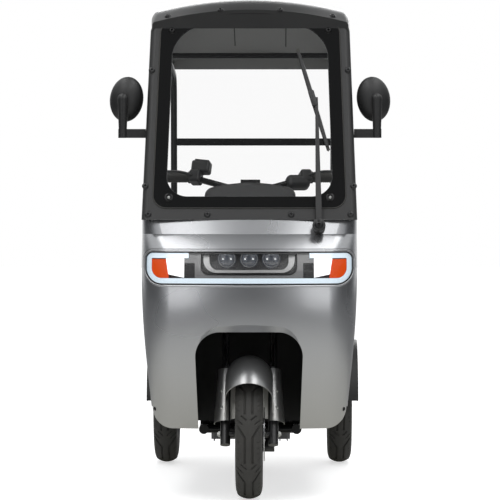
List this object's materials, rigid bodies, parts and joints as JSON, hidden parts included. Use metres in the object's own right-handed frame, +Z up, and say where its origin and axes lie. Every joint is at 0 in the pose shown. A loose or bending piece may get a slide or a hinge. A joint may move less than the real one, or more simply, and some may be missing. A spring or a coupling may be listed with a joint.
{
  "type": "electric tricycle with roof",
  "caption": "Covered electric tricycle: one steered front wheel under a wide fairing with a windscreen, two rear wheels under a seat body, and a roof on a tube frame.",
  "frame": {"origin": "on the ground under the middle of the whole vehicle's box", "axes": "+Y to the rear along the length, so the front faces -Y; +X to the vehicle's own left; +Z up"},
  "size_m": [0.9568, 1.9399, 1.6986],
  "materials": {
    "silver_paint": "metallic gloss",
    "black_plastic": "grained matte",
    "frame_paint": "satin",
    "dark_aluminium": "cast satin",
    "liner_plastic": "matte",
    "lamp_black": "gloss",
    "clear_lens": "clear gloss",
    "bezel_grey": "satin metallic",
    "projector_glass": "dark gloss",
    "white_guide": "frosted gloss",
    "amber_lens": "clear gloss",
    "white_reflector": "faceted gloss",
    "bright_trim": "polished",
    "screen_glass": "clear",
    "wiper_black": "satin",
    "wiper_rubber": "matte",
    "roof_black": "satin gloss",
    "mirror_face": "polished",
    "axle_paint": "satin",
    "spring_steel": "satin",
    "battery_case": "matte",
    "zinc_steel": "zinc plated",
    "seat_cover": "grained",
    "red_lens": "clear gloss",
    "white_plate": "satin",
    "fork_silver": "cast satin",
    "chrome_tube": "polished",
    "grip_rubber": "ribbed matte",
    "caliper_metal": "cast satin",
    "tyre_rubber": "matte",
    "rim_alloy": "painted satin",
    "disc_steel": "brushed"
  },
  "bodies": {
    "body": {"chassis_frame": "frame_paint", "floor_board": "black_plastic", "controller_box": "dark_aluminium", "front_fairing": "silver_paint", "wheel_liner": "liner_plastic", "leg_shield": "black_plastic", "lamp_tray": "lamp_black", "lamp_bezel": "bezel_grey", "lamp_cover": "clear_lens", "light_guide": "white_guide", "indicators": "amber_lens", "side_reflectors": "white_reflector", "projectors": "projector_glass", "lamp_trim": "bright_trim", "windscreen_frame": "black_plastic", "windscreen": "screen_glass", "wiper_motor": "black_plastic", "roof": "roof_black", "roof_frame": "frame_paint", "mirror_bodies": "black_plastic", "mirror_glasses": "mirror_face", "rear_body": "silver_paint", "rear_mudguards": "black_plastic", "rear_axle": "axle_paint", "trailing_arms": "frame_paint", "springs": "spring_steel", "battery": "battery_case", "seat_hinge": "zinc_steel", "driver_backrest": "seat_cover", "backrest_bracket": "frame_paint", "rear_cushion": "seat_cover", "rear_backrest": "seat_cover", "tail_lamps": "red_lens", "plate_holder": "white_plate", "rear_bumper": "frame_paint"},
    "steering": {"fork_sliders": "fork_silver", "fork_stanchions": "chrome_tube", "steering_stem": "frame_paint", "handlebar": "frame_paint", "grips": "grip_rubber", "hand_controls": "black_plastic", "instrument_pod": "black_plastic", "front_mudguard": "silver_paint", "brake_caliper": "caliper_metal"},
    "front_wheel": {"front_tyre": "tyre_rubber", "front_rim": "rim_alloy", "brake_disc": "disc_steel"},
    "rear_left_wheel": {"rear_tyre_left": "tyre_rubber", "rear_rim_left": "rim_alloy"},
    "rear_right_wheel": {"rear_tyre_right": "tyre_rubber", "rear_rim_right": "rim_alloy"},
    "wiper": {"wiper_arm": "wiper_black", "wiper_blade": "wiper_rubber"},
    "driver_seat": {"driver_seat_pan": "black_plastic", "driver_cushion": "seat_cover"}
  },
  "joints": [
    {"name": "steering", "type": "hinge", "parent": "body", "child": "steering", "pos_m": [0, -0.73182, 0.20564], "axis": [0, 0.3746, 0.9272], "range_deg": [-30, 30]},
    {"name": "front_wheel_spin", "type": "hinge", "parent": "steering", "child": "front_wheel", "pos_m": [0, -0.755, 0.215], "axis": [1, 0, 0], "continuous": true},
    {"name": "rear_left_wheel_spin", "type": "hinge", "parent": "body", "child": "rear_left_wheel", "pos_m": [0.3275, 0.545, 0.215], "axis": [1, 0, 0], "continuous": true},
    {"name": "rear_right_wheel_spin", "type": "hinge", "parent": "body", "child": "rear_right_wheel", "pos_m": [-0.3275, 0.545, 0.215], "axis": [1, 0, 0], "continuous": true},
    {"name": "wiper_swing", "type": "hinge", "parent": "body", "child": "wiper", "pos_m": [0.232, -0.76249, 0.90404], "axis": [0, -0.9272, 0.3746], "range_deg": [0, 50]},
    {"name": "driver_seat_lid", "type": "hinge", "parent": "body", "child": "driver_seat", "pos_m": [0, -0.018, 0.598], "axis": [1, 0, 0], "range_deg": [0, 72]}
  ]
}
